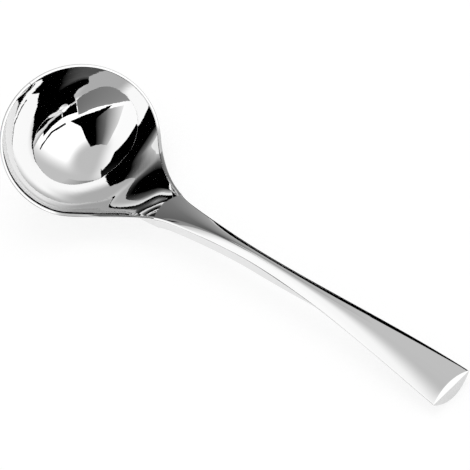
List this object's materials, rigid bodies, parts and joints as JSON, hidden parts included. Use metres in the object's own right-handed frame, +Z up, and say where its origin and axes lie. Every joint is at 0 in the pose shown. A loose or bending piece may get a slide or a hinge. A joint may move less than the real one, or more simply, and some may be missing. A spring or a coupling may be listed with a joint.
{
  "type": "gravy ladle",
  "caption": "Small polished steel gravy ladle with a round bowl, a flared neck and an arched hollow handle that widens to a faceted end.",
  "frame": {"origin": "middle of the bowl's resting flat, with the ladle lying on a table on its bowl and the tip of its handle", "axes": "+X from the bowl towards the tip of the handle, +Y to the left, +Z up from the table; the ladle is symmetric about the XZ plane"},
  "size_m": [0.1887, 0.06, 0.0365],
  "materials": {
    "polished_steel": "mirror-polished stainless steel",
    "forged_steel": "forged and pickled stainless steel",
    "handle_cement": "set handle cement, dull and grainy"
  },
  "bodies": {
    "root": {"bowl": "polished_steel", "handle_upper_shell": "polished_steel", "handle_lower_shell": "polished_steel", "handle_end_plate": "polished_steel", "tang": "forged_steel", "handle_filler": "handle_cement"}
  },
  "joints": []
}
